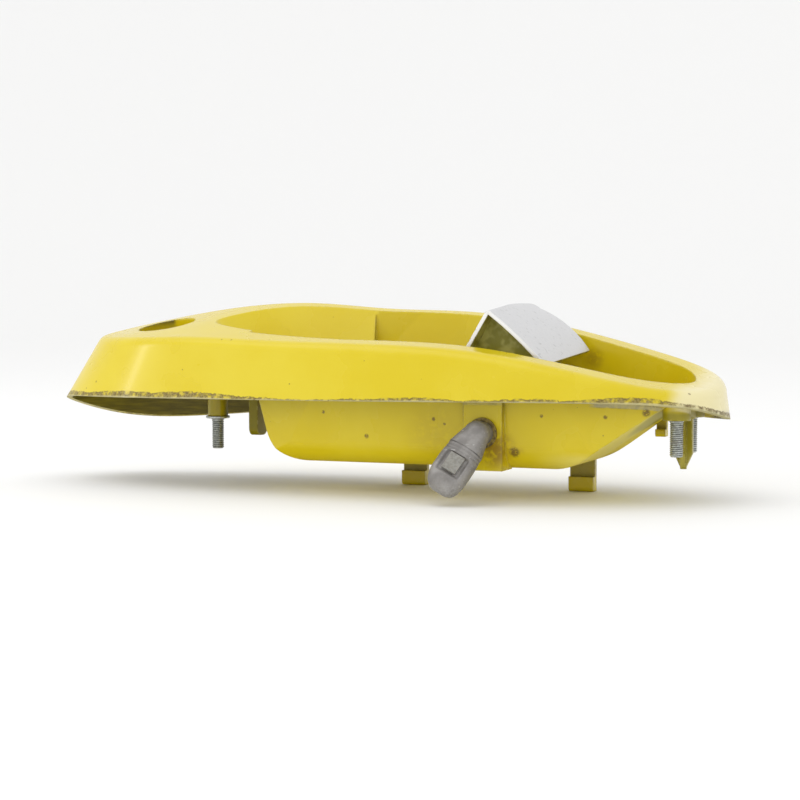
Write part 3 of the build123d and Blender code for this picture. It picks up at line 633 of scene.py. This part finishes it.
def lever_sleeve():
    """Rounded oblongs carried along the arm: x is half width times cos^(2/n), y half depth times sin^(2/n).
    Two ring grooves take a little off all round, a saddle is pressed into the broad face, and past the
    foot's start both halves shrink as a superellipse, so that the end closes in a blunt dome."""
    elbow = np.array((-0.0694, -0.0370, -0.0053))
    run = np.array((-11.8, -13.5, -22.4)) / math.sqrt(11.8 ** 2 + 13.5 ** 2 + 22.4 ** 2)
    out = np.array((0.0, -1.0, 0.0)) + run * run[1]
    out /= np.linalg.norm(out)
    sideways = np.cross(out, run)
    start, foot, end = 0.00755, 0.0215, 0.0266      # distances along the arm from the elbow
    half_width, half_depth = 0.00690, 0.0047
    groove_places, groove_share = (0.0088, 0.0101), 0.045
    saddle_depth = 0.00115
    dome = np.sin(np.linspace(0, math.pi / 2, 41))[1:]
    along = np.concatenate((np.linspace(start, foot, 110), foot + (end - foot) * dome))
    turn = np.linspace(0, 2 * math.pi, 120, endpoint=False)
    s, angle = np.meshgrid(along, turn, indexing="ij")
    corner = 2.35 + 0.9 * fine_step(s, 0.009, 0.015)
    groove = sum(fine_step(np.abs(s - place), 0.00030, 0.00008) for place in groove_places)
    in_foot = np.clip((s - foot) / (end - foot), 0, 1)
    swell = 0.00025 * fine_step(s, 0.008, 0.012)
    taper = 1 - 0.14 * fine_step(s, 0.018, end)
    wide = (half_width + swell) * (1 - in_foot ** 3.0) ** (1 / 3.2) * taper
    deep = half_depth * (1 - in_foot ** 2.6) ** (1 / 2.4)
    shrink = 1 - groove_share * groove
    x = wide * shrink * np.sign(np.cos(angle)) * np.abs(np.cos(angle)) ** (2 / corner)
    y = deep * shrink * np.sign(np.sin(angle)) * np.abs(np.sin(angle)) ** (2 / corner)
    saddle = fine_step(s, 0.0108, 0.0118) * fine_step(s, 0.0202, 0.0188)
    saddle = saddle * fine_step(np.abs(x), 0.0052, 0.0040)
    y = y - np.where(y > 0, saddle_depth * saddle, 0)
    x = np.where(x < 0, x * (1 - 0.12 * in_foot), x)
    points = elbow + s[..., None] * run + x[..., None] * sideways + y[..., None] * out
    middle = np.broadcast_to(elbow + start * run, (1,) + points.shape[1:])
    points = np.concatenate((middle, points))
    made = fill_mesh("lever_sleeve", points, grid_faces(len(points), len(turn), wrap=True))
    weld(made)
    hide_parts("crank_sleeve")
    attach(made, "pull")
    return made


lever_sleeve().data.materials.append(casting)

# ---- Rod clip ---------------------------------------------------------------------------------
# A small nylon block in the sleeve's window, which takes the latch rod; its pin crosses the sleeve.

nylon, finish, shader = new_finish("grey_nylon", IOR=1.5, Subsurface_Weight=0.05)
whole, x, y, z = place_on(finish)
fine = speckle(finish, whole, 900.0, 3.0)
colour = tint(finish, step_up(finish, fine, 0.36, 0.62), (0.235, 0.22, 0.195, 1), (0.31, 0.295, 0.262, 1))
coat(finish, shader, colour, spread(finish, fine, 0.45, 0.65))
relief(finish, shader, fine, 0.00004, add(finish, "Bevel", 0.0003, samples=4))
dress(["rod_clip"], nylon)

# ---- Studs ------------------------------------------------------------------------------------
# Three zinc plated M5 studs, each moulded in by its head. They have a plain collar and then a rolled
# thread with a bevelled tip; the plating has gone dull and a little rusty in the thread, and the thread's
# roots carry painted shade.

head_radius, collar_radius, thread_radius = 0.0034, 0.0027, 0.0025
thread_pitch, thread_depth = 0.0008, 0.00044
stud_bevel = 0.0005        # at the tip
stud_embed, head_height = 0.006, 0.002


def threaded_stud(name, node):
    """Radius is a plain turned profile; along the thread it loses depth times a rounded triangle wave of
    (height / pitch - turn / full turn), which fades in under the collar and out at the bevelled tip."""
    low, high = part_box(node)
    centre = (low + high) / 2
    drop = 0.0005 + (0.001 if node == "left_stud" else 0.0)     # the left one's collar also takes its washer
    start = high.z - stud_embed - drop
    under_head, tip_start = high.z - head_height, low.z + stud_bevel
    cut = np.linspace(start, tip_start, 150)
    tip = np.linspace(tip_start, low.z, 5)
    radius = np.concatenate(([0.0, head_radius, head_radius, collar_radius, collar_radius, thread_radius],
                             np.full(150, thread_radius), thread_radius - (tip_start - tip), [0.0]))
    height = np.concatenate(([high.z, high.z, under_head, under_head, start, start], cut, tip, [low.z]))
    turn = np.linspace(0, 2 * math.pi, 40, endpoint=False)
    heights, turns = np.meshgrid(height, turn, indexing="ij")
    wave = np.abs(((heights / thread_pitch - turns / (2 * math.pi)) % 1.0) * 2 - 1)
    fade = np.clip((start - heights) / 0.0006, 0, 1) * np.clip((heights - low.z) / 0.0006, 0, 1)
    fade[:6] = 0
    reach = np.maximum(radius[:, None] - thread_depth * fade * wave ** 2.0, 0)
    points = np.stack((centre.x + reach * np.cos(turns), centre.y + reach * np.sin(turns), heights), -1)
    made = fill_mesh(name, points, grid_faces(len(height), 40, wrap=True)[:, ::-1])
    weld(made)
    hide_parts(node)
    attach(made, "pod")
    return made


zinc, finish, shader = new_finish("dull_zinc", Metallic=0.9)
whole, x, y, z = place_on(finish)
fine = speckle(finish, whole, 1100.0, 4.0)
cloud = speckle(finish, whole, 260.0, 2.0)
colour = tint(finish, step_up(finish, fine, 0.35, 0.65), (0.42, 0.44, 0.42, 1), (0.66, 0.69, 0.67, 1))
rust = both(finish, step_up(finish, cloud, 0.52, 0.66), step_up(finish, fine, 0.42, 0.58))
colour = tint(finish, both(finish, rust, 0.35), colour, (0.20, 0.12, 0.05, 1))
# painted shade: the thread's roots darkened where the ambient occlusion finds them closed in
thread_root_shade = step_up(finish, add(finish, "AmbientOcclusion", None, 0.0006, samples=8).outputs["AO"], 0.85, 0.45)
colour = tint(finish, both(finish, thread_root_shade, 0.85), colour, (0.045, 0.045, 0.038, 1))
coat(finish, shader, colour, total(finish, spread(finish, fine, 0.30, 0.48), both(finish, rust, 0.3)))
relief(finish, shader, fine, 0.00003)
for number, node in enumerate(("left_stud", "right_near_stud", "right_far_stud")):
    threaded_stud("threaded_stud_%d" % (number + 1), node).data.materials.append(zinc)
dress(["left_washer", "end_washer"], zinc)

# ---- Pivot pieces -----------------------------------------------------------------------------
# A ground steel shaft turns in two white acetal bushes. Roll pins lock the paddle and the lever to
# it, a circlip keeps it in, and a hard drawn wire spring winds the paddle shut.

ground, finish, shader = new_finish("ground_steel", Metallic=1.0)
whole, x, y, z = place_on(finish)
laid = add(finish, "Mapping", whole, None, None, (40.0, 1600.0, 40.0))
rings = speckle(finish, laid.outputs[0], 1.0, 3.0)
smear = speckle(finish, whole, 300.0, 3.0)
colour = tint(finish, step_up(finish, smear, 0.45, 0.66), (0.56, 0.55, 0.53, 1), (0.24, 0.20, 0.15, 1))
coat(finish, shader, colour, spread(finish, rings, 0.18, 0.40))
relief(finish, shader, rings, 0.00002, add(finish, "Bevel", 0.0002, samples=4))
dress(["pivot_shaft", "lever_pin", "paddle_near_pin", "paddle_far_pin", "circlip", "return_spring",
       "rod_clip_pin"], ground)

acetal, finish, shader = new_finish("white_acetal", IOR=1.48, Subsurface_Weight=0.1)
whole, x, y, z = place_on(finish)
fine = speckle(finish, whole, 500.0, 3.0)
colour = tint(finish, step_up(finish, fine, 0.45, 0.64), (0.78, 0.76, 0.70, 1), (0.42, 0.34, 0.20, 1))
coat(finish, shader, colour, spread(finish, fine, 0.35, 0.55))
relief(finish, shader, fine, 0.00002)
dress(["near_bush", "far_bush"], acetal)

# ---- Seal and stop ----------------------------------------------------------------------------
# Black rubber: a dust ring pinched between pad and lever, and a buffer that the paddle's tail meets.

rubber, finish, shader = new_finish("black_rubber", IOR=1.5)
whole, x, y, z = place_on(finish)
fine = speckle(finish, whole, 800.0, 4.0)
colour = tint(finish, step_up(finish, fine, 0.40, 0.62), (0.012, 0.012, 0.012, 1), (0.060, 0.052, 0.042, 1))
coat(finish, shader, colour, spread(finish, fine, 0.55, 0.80))
relief(finish, shader, fine, 0.00004)
dress(["stop_buffer"], rubber)
dusty, finish, shader = new_finish("dusty_rubber", IOR=1.5)
whole, x, y, z = place_on(finish)
fine = speckle(finish, whole, 800.0, 4.0)
colour = tint(finish, step_up(finish, fine, 0.36, 0.60), (0.10, 0.070, 0.020, 1), (0.30, 0.22, 0.05, 1))
coat(finish, shader, colour, spread(finish, fine, 0.60, 0.85))
relief(finish, shader, fine, 0.00004)
dress(["pivot_seal"], dusty)
